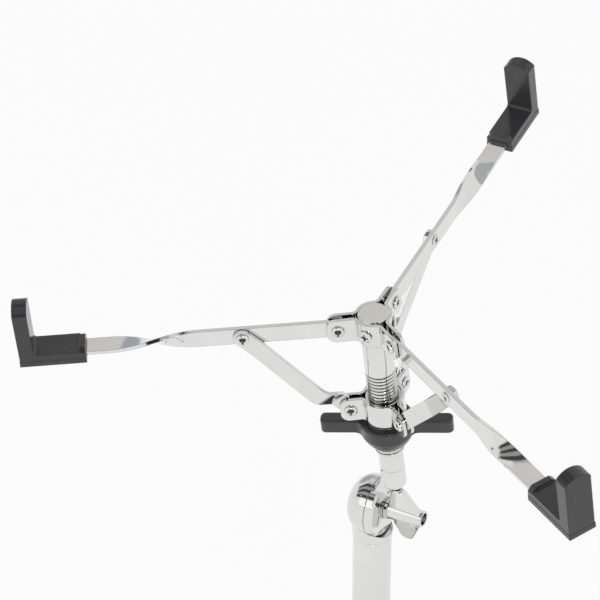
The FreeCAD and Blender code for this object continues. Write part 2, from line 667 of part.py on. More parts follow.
def grip_shape():
    """Rubber grip: a shoe over the strip's end with a floor, a rim and an upright arched claw."""
    x0, x1 = mm("arm_len") - mm("grip_from"), mm("arm_len") + mm("grip_to")
    half = mm("grip_half_w")
    low, floor, inset = -mm("grip_under"), mm("grip_floor"), mm("grip_inset")
    step = low + mm("grip_skirt")
    top = low + mm("claw_h")
    narrow = half - inset
    back = x1 - inset
    inner = x0 + inset + mm("grip_rim_len")
    root = x1 - mm("claw_t")
    shape = box_between(x0, x1, half, low, step)
    shape = shape.fuse(box_between(inner, back, narrow, step, floor))
    rim = box_between(x0 + inset, inner, narrow, step, floor + mm("grip_rim_h"))
    rim_edges = [e for e in rim.Edges if abs(abs(e.CenterOfMass.y) - narrow) < TINY
                 and abs(e.CenterOfMass.z - floor - mm("grip_rim_h")) < TINY]
    rim = rim.makeChamfer(mm("grip_rim_bevel"), rim_edges)
    side = Part.makePolygon([Vector(root, -half, floor), Vector(back, -half, floor), Vector(back, -half, top),
                             Vector(back - mm("claw_tip_t"), -half, top), Vector(root, -half, floor)])
    claw = Part.Face(side).extrude(Vector(0, 2 * half, 0))
    shoulder = top - mm("claw_arch")
    arch = Part.Wire([
        Part.makeLine(Vector(x0, -narrow, low), Vector(x0, narrow, low)),
        Part.makeLine(Vector(x0, narrow, low), Vector(x0, narrow, shoulder)),
        Part.Arc(Vector(x0, narrow, shoulder), Vector(x0, 0, top), Vector(x0, -narrow, shoulder)).toShape(),
        Part.makeLine(Vector(x0, -narrow, shoulder), Vector(x0, -narrow, low))])
    claw = claw.common(Part.Face(arch).extrude(Vector(x1 - x0, 0, 0)))
    shape = shape.fuse([rim, claw]).removeSplitter()
    gap = mm("seat_gap")
    pocket = box_between(x0 - mm("over"), mm("arm_len") + gap, mm("arm_w") / 2 + gap,
                         -mm("arm_t") / 2 - gap, mm("arm_t") / 2 + gap)
    shape = shape.cut(pocket)
    hollow = [e for e in shape.Edges if (e.CenterOfMass - Vector(root, 0, floor)).Length < TINY]
    shape = shape.makeFillet(mm("grip_hollow"), hollow)
    corners = [e for e in shape.Edges if abs(e.CenterOfMass.x - back) < TINY and e.CenterOfMass.z > floor]
    return shape.makeFillet(mm("grip_soft"), corners)


def arms():
    """Arms, grips, links and the rivets between them."""
    arm, grip, strap = arm_shape(), grip_shape(), link_shape()
    half_arm = size("arm_t") / 2
    face = half_arm + size("side_gap") + size("link_t")
    head_r, head_h = size("rivet_head_r"), size("rivet_head_h")
    pin = rivet("link_pin", -half_arm, face + size("seat_gap"),
                size("rivet_end_r"), size("rivet_end_h"), head_r, head_h)
    for i, azimuth in enumerate(ARM_AZIMUTHS, 1):
        shaped(f"arm_{i}", arm.copy(), arm_frame(azimuth))
        shaped(f"grip_{i}", grip.copy(), arm_frame(azimuth))
        shaped(f"link_{i}", strap.copy(), hub_frame(azimuth).multiply(strap.Placement))
        copies(f"link_rivet_{i}", pin, [arm_frame(azimuth).multiply(across(mm("arm_link_x")))])


def link_ends():
    """Upper and lower pivots of a link in its arm's plane."""
    rise = math.radians(mm("arm_rise_deg"))
    reach = mm("arm_link_x")
    high = Vector(mm("arm_pivot_r") + reach * math.cos(rise), 0, reach * math.sin(rise))
    return high, Vector(mm("slider_pivot_r"), 0, -mm("slider_drop"))


def strap_side(points, radii, offset):
    """One face of a bent strap in side view: the middle line's points with round bends, moved sideways."""
    ways = [(b - a).normalize() for a, b in zip(points, points[1:])]
    lefts = [Vector(-w.y, w.x, 0) for w in ways]
    edges = []
    spot = points[0] + lefts[0] * offset
    for i, radius in enumerate(radii):
        inward = (ways[i + 1] - ways[i]).normalize()
        sign = 1 if ways[i].cross(ways[i + 1]).z > 0 else -1
        centre = points[i + 1] + inward * (radius / math.cos(ways[i].getAngle(ways[i + 1]) / 2))
        reach = radius - offset * sign
        first, last = centre - lefts[i] * (sign * reach), centre - lefts[i + 1] * (sign * reach)
        edges.append(Part.makeLine(spot, first))
        edges.append(Part.Arc(first, centre - inward * reach, last).toShape())
        spot = last
    edges.append(Part.makeLine(spot, points[-1] + lefts[-1] * offset))
    return edges


def link_shape():
    """Strap that lies flat on the arm, bows out sideways and ends flat between the slider's ears."""
    high, low = link_ends()
    half_w, half_t = mm("link_w") / 2, mm("link_t") / 2
    span = (low - high).Length
    shift = mm("arm_t") / 2 + mm("side_gap") + half_t
    path = [Vector(-half_w, shift, 0), Vector(mm("link_bend_top"), shift, 0),
            Vector(span - mm("link_bow_at"), mm("link_bow"), 0), Vector(span - mm("link_bend_low"), 0, 0),
            Vector(span + half_w, 0, 0)]
    radii = [mm("link_bend_r"), mm("link_bow_r"), mm("link_bend_r")]
    left, right = strap_side(path, radii, half_t), strap_side(path, radii, -half_t)
    ends = [Part.makeLine(left[i].Vertexes[i].Point, right[i].Vertexes[i].Point) for i in (0, -1)]
    face = Part.Face(Part.Wire(Part.__sortEdges__(left + right + ends)))
    face.translate(Vector(0, 0, -half_w))
    band = face.extrude(Vector(0, 0, 2 * half_w))
    wide = mm("link_bow") + 2 * shift
    mask = Part.makeBox(span, 2 * wide, 2 * half_w, Vector(0, -wide, -half_w))
    eyes = [Part.makeCylinder(half_w, 2 * wide, Vector(x, -wide, 0), Y_AXIS) for x in (0, span)]
    shape = band.common(mask.fuse(eyes))
    for x in (0, span):
        hole = Part.makeCylinder(mm("rivet_r") + mm("fit_gap"), 2 * wide, Vector(x, -wide, 0), Y_AXIS)
        shape = shape.cut(hole)
    along = (low - high).normalize()
    shape = shape.removeSplitter()
    shape.Placement = Placement(high, Rotation(along, Y_AXIS, along.cross(Y_AXIS), "XYZ"))
    return shape


def stem():
    """Rod, threaded sleeve and cap."""
    low = size("rod_from") - size("hub_h")
    rod_top = size("sleeve_top") - size("cap_plug") - size("cap_t")
    rod = ring("rod", size("rod_r"), size("rod_r") - size("rod_wall"), low, rod_top)
    done(rod, "basket_rod", hub_frame())
    radius, bore = mm("sleeve_r"), mm("rod_r") + mm("seat_gap")
    top, bottom = mm("sleeve_top"), mm("sleeve_top") - mm("sleeve_len")
    tube = Part.makeCylinder(radius, top - bottom, Vector(0, 0, bottom))
    tube = tube.cut(Part.makeCylinder(bore, top - bottom, Vector(0, 0, bottom)))
    shaped("threaded_sleeve", tube.cut(thread_groove(bottom)), hub_frame())
    cap_r, high = size("sleeve_r"), size("sleeve_top")
    plug_r = size("rod_r")
    cap = turned("cap", [
        (ZERO, high - size("cap_plug")), (plug_r, high - size("cap_plug")), (plug_r, high), (cap_r, high),
        (cap_r, high + size("cap_t") - size("cap_bevel")), (cap_r - size("cap_bevel"), high + size("cap_t")),
        (ZERO, high + size("cap_t"))])
    done(cap, "sleeve_cap", hub_frame())


def thread_groove(bottom):
    """Helical groove of the sleeve's thread, from below the sleeve's end to the thread's top."""
    pitch, depth, half = mm("thread_pitch"), mm("thread_depth"), mm("thread_root") / 2
    radius = mm("sleeve_r")
    start = bottom - pitch
    helix = Part.makeHelix(pitch, -mm("thread_top") - start, radius)
    helix.translate(Vector(0, 0, start))
    out, slope = mm("side_gap"), mm("thread_slope")
    flare = half + slope * out
    root = half - slope
    corners = [Vector(radius + out, 0, start - flare), Vector(radius - depth, 0, start - root),
               Vector(radius - depth, 0, start + root), Vector(radius + out, 0, start + flare)]
    profile = Part.makePolygon(corners + corners[:1])
    pipe = Part.BRepOffsetAPI.MakePipeShell(Part.Wire(helix.Edges))
    pipe.setFrenetMode(True)
    pipe.add(profile)
    pipe.build()
    pipe.makeSolid()
    return pipe.shape()


def slider():
    """Ring that slides on the sleeve, three plates around it, link rivets and a washer."""
    centre = -size("slider_drop")
    bore = size("sleeve_r") + size("fit_gap")
    wrap = size("slider_ring_r")
    high, low = centre + size("slider_ring_up"), centre - size("slider_ring_down")
    done(ring("slider_tube", wrap, bore, low, high), "slider_ring", hub_frame())
    plate = plate_shape(mm("slider_ring_r") + mm("seat_gap"), mm("slider_pivot_r"), 0)
    drop = move(z=-mm("slider_drop"))
    for i, azimuth in enumerate(ARM_AZIMUTHS, 1):
        shaped(f"slider_plate_{i}", plate.copy(), hub_frame(azimuth + BETWEEN_ARMS).multiply(drop))
    inner = size("arm_t") / 2 + size("side_gap")
    half = stub("slider_stub", inner, inner + size("plate_t"))
    places = []
    for azimuth in ARM_AZIMUTHS:
        at = hub_frame(azimuth).multiply(move(mm("slider_pivot_r"), 0, -mm("slider_drop")))
        places += [at.multiply(turn(X_AXIS, -90)), at.multiply(turn(X_AXIS, 90))]
    copies("slider_rivets", half, places)
    washer = ring("nut_disc", size("nut_washer_r"), bore, low - size("nut_washer_t"), low)
    done(washer, "nut_washer", hub_frame())


def nut_plan():
    """Plan of the nut: a round hub and two wings that flow into it."""
    hub_r, half, span = mm("nut_top_r"), mm("nut_wing_w") / 2, mm("nut_span")
    hollow, tip = mm("nut_hollow"), mm("nut_tip_round")
    along = math.sqrt((hub_r + hollow) ** 2 - (half + hollow) ** 2)
    centre = Vector(along, half + hollow, 0)
    inward = Vector(centre).normalize() * -1
    start = inward * -hub_r
    halfway = centre + (inward - Y_AXIS).normalize() * hollow
    diagonal = (X_AXIS + Y_AXIS).normalize() * tip
    corner = Vector(span - tip, half - tip, 0)
    top = Y_AXIS * hub_r
    quarter = [Part.Arc(top, (top + start).normalize() * hub_r, start).toShape(),
               Part.Arc(start, halfway, centre - Y_AXIS * hollow).toShape(),
               Part.makeLine(centre - Y_AXIS * hollow, corner + Y_AXIS * tip),
               Part.Arc(corner + Y_AXIS * tip, corner + diagonal, corner + X_AXIS * tip).toShape(),
               Part.makeLine(corner + X_AXIS * tip, Vector(span, 0, 0))]
    edges = []
    for normal in (None, X_AXIS, Y_AXIS, (X_AXIS, Y_AXIS)):
        for edge in quarter:
            for mirror in (normal if isinstance(normal, tuple) else [normal]):
                edge = edge.mirror(Vector(), mirror) if mirror else edge
            edges.append(edge)
    return Part.Face(Part.Wire(Part.__sortEdges__(edges)))


def nut_bowl(top, low, bottom):
    """Solid underside of the nut's hub, rounded towards its lower end."""
    hub_r, low_r, soft = mm("nut_top_r"), mm("nut_low_r"), mm("soft")
    inside = (top - low) / 2
    corner = Vector(low_r, 0, bottom + soft)
    rim = Vector(hub_r, 0, low)
    bend = Vector(corner.x, corner.z, 0)
    curve = arc_through(bend, Vector(rim.x, rim.z, 0), mm("nut_bowl_r"), -1)
    middle = curve.value((curve.FirstParameter + curve.LastParameter) / 2)
    edges = [Part.makeLine(Vector(0, 0, bottom), Vector(low_r - soft, 0, bottom)),
             Part.makeLine(Vector(low_r - soft, 0, bottom), corner),
             Part.Arc(corner, Vector(middle.x, 0, middle.y), rim).toShape(),
             Part.makeLine(rim, Vector(hub_r - inside, 0, low + inside)),
             Part.makeLine(Vector(hub_r - inside, 0, low + inside), Vector(0, 0, low + inside)),
             Part.makeLine(Vector(0, 0, low + inside), Vector(0, 0, bottom))]
    return Part.Face(Part.Wire(edges)).revolve(Vector(), Z_AXIS, FULL_TURN)


def nut():
    """Plastic nut with two wings and its metal insert."""
    top = -size("slider_drop") - size("slider_ring_down") - size("nut_washer_t") - size("side_gap")
    bottom = top - size("nut_h")
    low = (top - size("nut_wing_h")).value
    plan = nut_plan()
    plan.translate(Vector(0, 0, low))
    slab_shape = plan.extrude(Vector(0, 0, mm("nut_wing_h")))
    rims = [e for e in slab_shape.Edges if abs(e.CenterOfMass.z - top.value) < TINY]
    shape = slab_shape.makeFillet(mm("nut_round"), rims).fuse(nut_bowl(top.value, low, bottom.value))
    bore = mm("insert_r") + mm("seat_gap")
    shape = shape.cut(Part.makeCylinder(bore, 2 * mm("nut_h"), Vector(0, 0, bottom.value - mm("over"))))
    at = hub_frame(mm("nut_turn_deg"))
    shaped("basket_nut", shape.removeSplitter(), at)
    insert = ring("insert", size("insert_r"), size("sleeve_r") + size("fit_gap"), bottom, top)
    done(insert, "nut_insert", at)


# Tilter

def teeth(face, way):
    """Cutters for the radial teeth of a tilter face that looks along way."""
    inner, outer = mm("tooth_in_r"), mm("tilter_r") - mm("tooth_lip")
    half, deep = mm("tooth_half_w"), mm("tooth_depth")
    out = face + way * mm("side_gap") / 2
    corners = [Vector(out, -half, 0), Vector(out, half, 0), Vector(face - way * deep, 0, 0)]
    wedge = Part.Face(Part.makePolygon(corners + corners[:1])).extrude(Vector(0, 0, outer - inner))
    wedge.translate(Vector(0, 0, inner))
    cutters = []
    for i in range(TOOTH_COUNT):
        tool = wedge.copy()
        tool.rotate(Vector(), X_AXIS, i * FULL_TURN / TOOTH_COUNT)
        cutters.append(tool)
    return Part.makeCompound(cutters)


def tilter_base():
    """Domed half: dome about the tilter axis, tapered socket and spigot about the post axis."""
    seam, radius = mm("tilter_seam"), mm("tilter_r")
    nose = seam - mm("tilter_dome")
    lip = seam - mm("dome_rim_t")
    nose_r = mm("dome_nose_r")
    bulge = Vector(nose + mm("dome_bulge_x"), 0, mm("dome_bulge_r"))
    edges = [Part.makeLine(Vector(seam, 0, 0), Vector(seam, 0, radius)),
             Part.makeLine(Vector(seam, 0, radius), Vector(lip, 0, radius)),
             Part.Arc(Vector(lip, 0, radius), bulge, Vector(nose, 0, nose_r)).toShape(),
             Part.makeLine(Vector(nose, 0, nose_r), Vector(nose, 0, 0)),
             Part.makeLine(Vector(nose, 0, 0), Vector(seam, 0, 0))]
    dome = Part.Face(Part.Wire(edges)).revolve(Vector(), X_AXIS, FULL_TURN)
    low = -mm("socket_h")
    post_r = mm("post_r")
    socket_r = post_r + mm("socket_step")
    socket = Part.makeCone(socket_r, socket_r + mm("socket_flare"), mm("socket_len"), Vector(0, 0, low))
    spigot_r = post_r - mm("post_wall") - mm("seat_gap")
    spigot = Part.makeCylinder(spigot_r, mm("spigot_len") + mm("over"), Vector(0, 0, low - mm("spigot_len")))
    shape = dome.fuse([socket, spigot])
    room = Part.makeCylinder(radius + mm("side_gap"), 4 * radius, Vector(seam, 0, 0), X_AXIS)
    bolt = Part.makeCylinder(mm("bolt_r") + mm("seat_gap"), 8 * radius, Vector(-4 * radius, 0, 0), X_AXIS)
    shape = shape.cut(room).cut(bolt).cut(teeth(seam, 1))
    shaped("tilter_base", shape, move(z=mm("pivot_h")))


def neck_shape(face, back):
    """Swept neck between the disc and the round end, flat on both sides."""
    centre, rod_r, half = mm("rod_offset"), mm("rod_r"), mm("neck_half_w")
    low, high = mm("neck_low"), mm("rod_from") - mm("over")

    def at(x, z):
        return Vector(x, -half, z)

    top = at(centre - rod_r + mm("neck_top_in"), high)
    upper = Part.Arc(top, at(face + mm("neck_mid_x"), mm("neck_mid_h")), at(face, mm("neck_foot_h")))
    root = at(back, mm("neck_root_h"))
    under = Part.Arc(root, at(back + mm("neck_under_x"), mm("neck_under_h")), at(centre, low))
    edges = [
        Part.makeLine(at(face, 0), at(back, 0)), Part.makeLine(at(back, 0), root), under.toShape(),
        Part.makeLine(at(centre, low), at(centre, high)), Part.makeLine(at(centre, high), top),
        upper.toShape(), Part.makeLine(at(face, mm("neck_foot_h")), at(face, 0))]
    return Part.Face(Part.Wire(edges)).extrude(Vector(0, 2 * half, 0))


def wing_start():
    """Wing nut's flange from the post axis."""
    stack = size("tilter_seam") + size("side_gap") + size("tilter_disc_t")
    return stack + size("tilter_washer_t") + size("side_gap")


def tilter_head():
    """Upper half: bevelled disc, swept neck and a round end for the rod, clear of the turning wings."""
    face = mm("tilter_seam") + mm("side_gap")
    back = face + mm("tilter_disc_t")
    radius, centre, rod_r = mm("tilter_r"), mm("rod_offset"), mm("rod_r")
    low, high = mm("neck_low"), mm("rod_from")
    disc = Part.makeCylinder(radius, back - face, Vector(face, 0, 0), X_AXIS)
    rim = [e for e in disc.Edges if abs(e.CenterOfMass.x - back) < TINY]
    disc = disc.makeChamfer(mm("tilter_bevel"), rim)
    barrel = Part.makeCylinder(rod_r, high - low, Vector(centre, 0, low))
    foot_rim = [e for e in barrel.Edges if abs(e.CenterOfMass.z - low) < TINY]
    barrel = barrel.makeFillet(mm("neck_round"), foot_rim)
    spigot_r = rod_r - mm("rod_wall") - mm("seat_gap")
    spigot = Part.makeCylinder(spigot_r, mm("spigot_len"), Vector(centre, 0, high))
    shape = disc.fuse([barrel, spigot, neck_shape(face, back)])
    long = 4 * radius
    bolt = Part.makeCylinder(mm("bolt_r") + mm("fit_gap"), 2 * long, Vector(-long, 0, 0), X_AXIS)
    seat = Part.makeCylinder(mm("tilter_washer_r") + mm("side_gap"), long, Vector(back, 0, 0), X_AXIS)
    sweep_r = mm("wing_tip") + mm("wing_tip_r") + 2 * mm("side_gap")
    sweep_x = wing_start().value + mm("wing_mid") - mm("wing_tip_r") - mm("side_gap")
    sweep = Part.makeCylinder(sweep_r, long, Vector(sweep_x, 0, 0), X_AXIS)
    shape = shape.cut(bolt).cut(seat).cut(sweep).cut(teeth(face, -1)).removeSplitter()
    shaped("tilter_head", shape, basket_frame().multiply(move(-centre)))


def tilter_fittings():
    """Bolt, washer and wing nut on the tilter axis."""
    sideways = move(z=mm("pivot_h")).multiply(turn(Y_AXIS, 90))
    nose = size("tilter_seam") - size("tilter_dome")
    back = size("tilter_seam") + size("side_gap") + size("tilter_disc_t")
    shank, head_r, head_h = size("bolt_r"), size("bolt_head_r"), size("bolt_head_h")
    start = wing_start()
    end = start + size("wing_h") - size("wing_hole_depth")
    bevel = size("soft")
    bolt = turned("bolt", [
        (ZERO, nose - head_h, dome_radius(head_r, head_h), -1), (head_r, nose), (shank, nose),
        (shank, end - bevel), (shank - bevel, end), (ZERO, end)])
    done(bolt, "tilter_bolt", sideways)
    bore = size("bolt_r") + size("fit_gap")
    disc = ring("disc", size("tilter_washer_r"), bore, back, back + size("tilter_washer_t"))
    done(disc, "tilter_washer", sideways)
    hole = cylinder(bore, size("wing_h") * 2, (0, 0, -size("over")))
    at = sideways.multiply(move(z=start.value)).multiply(turn(Z_AXIS, mm("wing_turn_deg")))
    done(cut(joined(*wing_blank("wing_tip")), hole), "tilter_wing_nut", at)


# Column

def column():
    """Post, memory lock, base tube, bush and end plug."""
    top = size("pivot_h") - size("socket_h")
    post = ring("post", size("post_r"), size("post_r") - size("post_wall"), size("post_low"), top)
    done(post, "post_tube")
    lock_low = size("base_top") + size("bush_flange_t") + size("side_gap")
    bore = size("post_r") + size("seat_gap")
    soft = size("soft")
    lock = turned("lock", [
        (bore, lock_low), (size("lock_r"), lock_low), (size("lock_r"), lock_low + size("lock_h") - soft),
        (size("lock_r") - soft, lock_low + size("lock_h")), (bore, lock_low + size("lock_h"))])
    ear = slab(size("lock_r") - soft * 2, size("lock_r") + size("lock_ear") - soft * 2, size("lock_ear_half"),
               lock_low, lock_low + size("lock_h") - soft)
    slit = slab(size("post_r") - soft, size("lock_r") + size("lock_ear") * 2, size("lock_slit") / 2,
                lock_low - soft, lock_low + size("lock_h") * 2)
    done(cut(joined(lock, ear), slit), "memory_lock", turn(Z_AXIS, LOCK_AZIMUTH))
    base_in = size("base_r") - size("base_wall")
    base = ring("base", size("base_r"), base_in, size("base_low"), size("base_top"))
    done(base, "base_tube")
    bush_out = base_in - size("seat_gap")
    bush_in = size("post_r") + size("fit_gap")
    bush = turned("bush", [
        (bush_in, size("base_top") - size("bush_len")), (bush_out, size("base_top") - size("bush_len")),
        (bush_out, size("base_top")), (size("bush_flange_r"), size("base_top")),
        (size("bush_flange_r"), size("base_top") + size("bush_flange_t")),
        (bush_in, size("base_top") + size("bush_flange_t"))])
    done(bush, "clamp_bush")
    plug = turned("plug", [
        (ZERO, size("base_low") - size("plug_t")), (size("base_r") - soft, size("base_low") - size("plug_t")),
        (size("base_r"), size("base_low") - size("plug_t") + soft), (size("base_r"), size("base_low")),
        (bush_out, size("base_low")), (bush_out, size("base_low") + size("plug_len")),
        (ZERO, size("base_low") + size("plug_len"))])
    done(plug, "base_plug")


def wing_bolt(label, shank_len, at):
    """Wing screw: the wing blank with a shank below its flange."""
    shank = cylinder(size("bolt_r"), dim(shank_len) + size("over"), (0, 0, -dim(shank_len)))
    done(joined(shank, *wing_blank("bolt_wing_tip")), label, at)


def height_clamp():
    """Split clamp at the base tube's top and its wing bolt."""
    top, high = size("base_top"), size("clamp_h")
    low = top - high
    radius, half = size("clamp_r"), size("clamp_lug_half")
    bolt_x = radius + size("clamp_lug") - size("boss_r")
    body = cylinder(radius, high, (0, 0, low))
    lug = slab(0, bolt_x, half, low, top)
    end = cylinder(high / 2, half * 2, (bolt_x, -half, low + high / 2), Y_AXIS)
    bore = cylinder(size("base_r") + size("seat_gap"), high + size("over") * 2, (0, 0, low - size("over")))
    slot = slab(0, bolt_x + high, size("clamp_slot") / 2, low - size("over"), top + size("over"))
    hole = cylinder(size("bolt_r") + size("fit_gap"), half * 4, (bolt_x, -half * 2, low + high / 2), Y_AXIS)
    done(cut(joined(body, lug, end), bore, slot, hole), "height_clamp", turn(Z_AXIS, CLAMP_AZIMUTH))
    at = turn(Z_AXIS, CLAMP_AZIMUTH)
    at = at.multiply(move(bolt_x.value, -half.value - mm("side_gap"), (low + high / 2).value))
    at = at.multiply(turn(X_AXIS, 90)).multiply(turn(Z_AXIS, 90))
    wing_bolt("clamp_wing_bolt", half * 2 + size("side_gap"), at)


# Tripod

def lug_ring(label, radius, bore, middle, high, lug_half, lug_r, extras):
    """Ring with three lugs for pins at the leg pivots."""
    low = middle - dim(high) / 2
    reach = size("leg_pivot_r")
    pieces = [cylinder(radius, high, (0, 0, low))]
    holes = [cylinder(bore, dim(high) + size("over") * 2, (0, 0, low - size("over")))]
    for azimuth in LEG_AZIMUTHS:
        arm = joined(slab(0, reach, lug_half, middle - lug_r, middle + lug_r),
                     cylinder(lug_r, dim(lug_half) * 2, (reach, -dim(lug_half), middle), Y_AXIS))
        arm.Placement = turn(Z_AXIS, azimuth)
        pieces.append(arm)
        if label == "leg_collar":
            hole = cylinder(size("rivet_r") + size("seat_gap"), dim(lug_half) * 4,
                            (reach, -dim(lug_half) * 2, middle), Y_AXIS)
            holes.append(placed(hole, turn(Z_AXIS, azimuth)))
    for piece, hole in extras:
        pieces.append(piece)
        holes.append(hole)
    return done(cut(joined(*pieces), *holes), label)


def collar_middle():
    """Height of the leg pivots, bound to the sheet."""
    text = "(sizes.low_pivot_h + 2 * sizes.leg_span * cos(sizes.leg_spread_deg * 1 deg))"
    return Dim(collar_h(), text)


def inner_half():
    """Half width inside the leg channel."""
    return size("leg_half_w") - size("leg_wall")


def strut_half():
    return inner_half() - size("side_gap")


def tripod_rings():
    """Sliding collar with its wing bolt and rivets, and the fixed bottom bracket."""
    middle = collar_middle()
    boss = cylinder(size("boss_r"), size("boss_len"), (0, 0, middle), Y_AXIS)
    hole = cylinder(size("bolt_r") + size("fit_gap"), size("boss_len") * 2, (0, 0, middle), Y_AXIS)
    lug_ring("leg_collar", size("collar_r"), size("base_r") + size("fit_gap") * 2, middle, size("collar_h"),
             inner_half() - size("side_gap"), size("lug_r"), [(boss, hole)])
    gap = mm("side_gap")
    at = move(0, mm("boss_len") + gap, collar_h()).multiply(turn(X_AXIS, -90))
    wing_bolt("collar_wing_bolt", size("boss_len") - size("base_r"), at)
    outside = size("leg_half_w") + size("side_gap") / 2
    head_r, head_h = size("rivet_head_r"), size("rivet_head_h")
    pin = rivet("collar_pin", -outside, outside, head_r, head_h, head_r, head_h)
    copies("collar_rivets", pin, [leg_frame(a).multiply(across()) for a in LEG_AZIMUTHS])
    lug_ring("bottom_bracket", size("bracket_r"), size("base_r") + size("seat_gap"), size("low_pivot_h"),
             size("bracket_h"), strut_half() - size("strut_wall") - size("side_gap"), size("low_lug_r"), [])


def channel(length, half, wall, front, back, round_low, round_high, back_low, back_high):
    """Pressed channel along X with round ends and its back cut away near each end."""
    over = size("over")
    shell = cut(slab(-dim(round_low), dim(length) + round_high, half, -dim(front), back),
                slab(-dim(round_low) - over, dim(length) + dim(round_high) + over, dim(half) - wall,
                     -dim(front) - over, dim(back) - wall))
    mask = [slab(0, length, dim(half) + over, -dim(front) - over, dim(back) + over),
            cylinder(round_low, (dim(half) + over) * 2, (0, -dim(half) - over, 0), Y_AXIS)]
    if round_high.value > 0:
        mask.append(cylinder(round_high, (dim(half) + over) * 2, (length, -dim(half) - over, 0), Y_AXIS))
    tools = [slab(-dim(round_low) - over, back_low, dim(half) + over, dim(back) - wall, dim(back) + over)]
    if back_high:
        tools.append(slab(dim(length) - back_high, dim(length) + dim(round_high) + over, dim(half) + over,
                          dim(back) - wall, dim(back) + over))
    return cut(shared(shell, joined(*mask)), *tools)


def pin_hole(x, gap):
    wide = size("leg_half_w") * 2
    return cylinder(size("rivet_r") + gap, wide * 2, (x, -wide, 0), Y_AXIS)


def leg(index, azimuth):
    """Channel leg with the rivet that holds its strut."""
    body = channel(size("leg_len"), size("leg_half_w"), size("leg_wall"), size("leg_front"), size("leg_back"),
                   size("leg_front"), ZERO, size("leg_back_from"), None)
    holed = cut(body, pin_hole(ZERO, size("fit_gap")), pin_hole(size("leg_span"), size("seat_gap")))
    done(holed, f"leg_{index}", leg_frame(azimuth))
    head_r, head_h, half = size("rivet_head_r"), size("rivet_head_h"), size("leg_half_w")
    pin = rivet(f"leg_pin_{index}", -half, half, head_r, head_h, head_r, head_h)
    done(pin, f"leg_rivet_{index}", leg_frame(azimuth).multiply(across(mm("leg_span"))))


def strut(index, azimuth):
    """Channel strut with half rivets at its open lower pivot."""
    half, deep = strut_half(), size("strut_half_d")
    body = channel(size("leg_span"), half, size("strut_wall"), deep, deep, deep, deep,
                   size("leg_back_from"), size("strut_back_to"))
    holed = cut(body, pin_hole(ZERO, size("fit_gap")), pin_hole(size("leg_span"), size("seat_gap")))
    done(holed, f"strut_{index}", strut_frame(azimuth))
    pin = stub(f"strut_stub_{index}", half - size("strut_wall"), half)
    low = strut_frame(azimuth).multiply(move(mm("leg_span")))
    copies(f"strut_rivet_{index}", pin, [low.multiply(turn(X_AXIS, -90)), low.multiply(turn(X_AXIS, 90))])


def foot(index, azimuth):
    """Rubber boot on a leg's end, flat on the floor."""
    wall, gap = mm("foot_wall"), mm("seat_gap")
    half, front, back = mm("leg_half_w") + wall, mm("leg_front") + wall, mm("leg_back") + wall
    start, end = mm("leg_len") - mm("foot_len"), mm("leg_len") + mm("foot_past")
    boot = box_between(start, end, half, -front, back)
    boot = boot.makeFillet(mm("foot_round"), [e for e in boot.Edges if e.CenterOfMass.x > start + wall])
    pocket = box_between(start - wall, mm("leg_len") + gap, mm("leg_half_w") + gap,
                         -mm("leg_front") - gap, mm("leg_back") + gap)
    inner = mm("leg_half_w") - mm("leg_wall") - gap
    core = box_between(start + wall, mm("leg_len") + wall, inner, -mm("leg_front") - wall / 2,
                       mm("leg_back") - mm("leg_wall") - gap)
    below = Part.makeBox(8 * end, 8 * end, end, Vector(-4 * end, -4 * end, floor_h() - end))
    below.Placement = leg_frame(azimuth).inverse().multiply(below.Placement)
    shape = boot.cut(pocket).fuse(core).cut(below).removeSplitter()
    shaped(f"foot_{index}", shape, leg_frame(azimuth))


def tripod():
    tripod_rings()
    for index, azimuth in enumerate(LEG_AZIMUTHS, 1):
        leg(index, azimuth)
        strut(index, azimuth)
        foot(index, azimuth)


top_bracket()
arms()
stem()
slider()
nut()
tilter_base()
tilter_head()
tilter_fittings()
column()
height_clamp()
tripod()
doc.recompute()

os.makedirs("parts", exist_ok=True)
for obj in doc.Objects:
    if "Invalid" in obj.State or "Error" in obj.State:
        raise RuntimeError(f"{obj.Label} did not build")
for label, obj in finished.items():
    if obj.Shape.isNull() or not obj.Shape.isValid():
        raise RuntimeError(f"{label} has no valid shape")
for label, obj in finished.items():
    obj.Shape.exportStep(f"parts/{label}.step")
print(len(finished), "sub-parts written")
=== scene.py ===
import json
import math
from collections import namedtuple
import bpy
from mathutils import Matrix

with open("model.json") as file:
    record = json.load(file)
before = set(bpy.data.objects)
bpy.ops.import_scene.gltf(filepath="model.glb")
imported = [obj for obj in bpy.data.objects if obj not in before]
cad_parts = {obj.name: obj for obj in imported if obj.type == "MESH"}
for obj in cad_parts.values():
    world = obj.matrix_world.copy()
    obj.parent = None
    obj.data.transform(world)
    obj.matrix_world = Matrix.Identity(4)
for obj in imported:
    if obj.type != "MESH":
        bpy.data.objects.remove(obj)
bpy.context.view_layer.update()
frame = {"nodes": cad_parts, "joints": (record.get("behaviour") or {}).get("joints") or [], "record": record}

from types import SimpleNamespace

import bpy
from mathutils import Matrix, Vector

JOINTS = {joint["name"]: joint for joint in frame["joints"]}
ARM_COUNT = 3
MM = 0.001
WHITE = (1, 1, 1, 1)

# Camera: where the hub's middle lies from the lens, in metres, and how the lens looks at it
IMAGE_PX = 600
FOCAL_PX = 2912.4
SENSOR_MM = 36
VIEW_AZIMUTH = math.radians(29.11)
VIEW_ELEVATION = math.radians(31.45)
HUB_RIGHT = 0.0449
HUB_DOWN = 0.0146
HUB_AWAY = 1.7551

# Lamps: where each stands from the hub and its width, both in metres, and its watts
Lamp = namedtuple("Lamp", "name offset width watts")
LAMPS = (
    Lamp("key_lamp", (-1.22, -2.29, 1.31), 2.4, 16),
    Lamp("fill_lamp", (1.87, -0.53, 1.44), 1.2, 6),
)
LAMP_HEIGHT_PER_WIDTH = 0.6

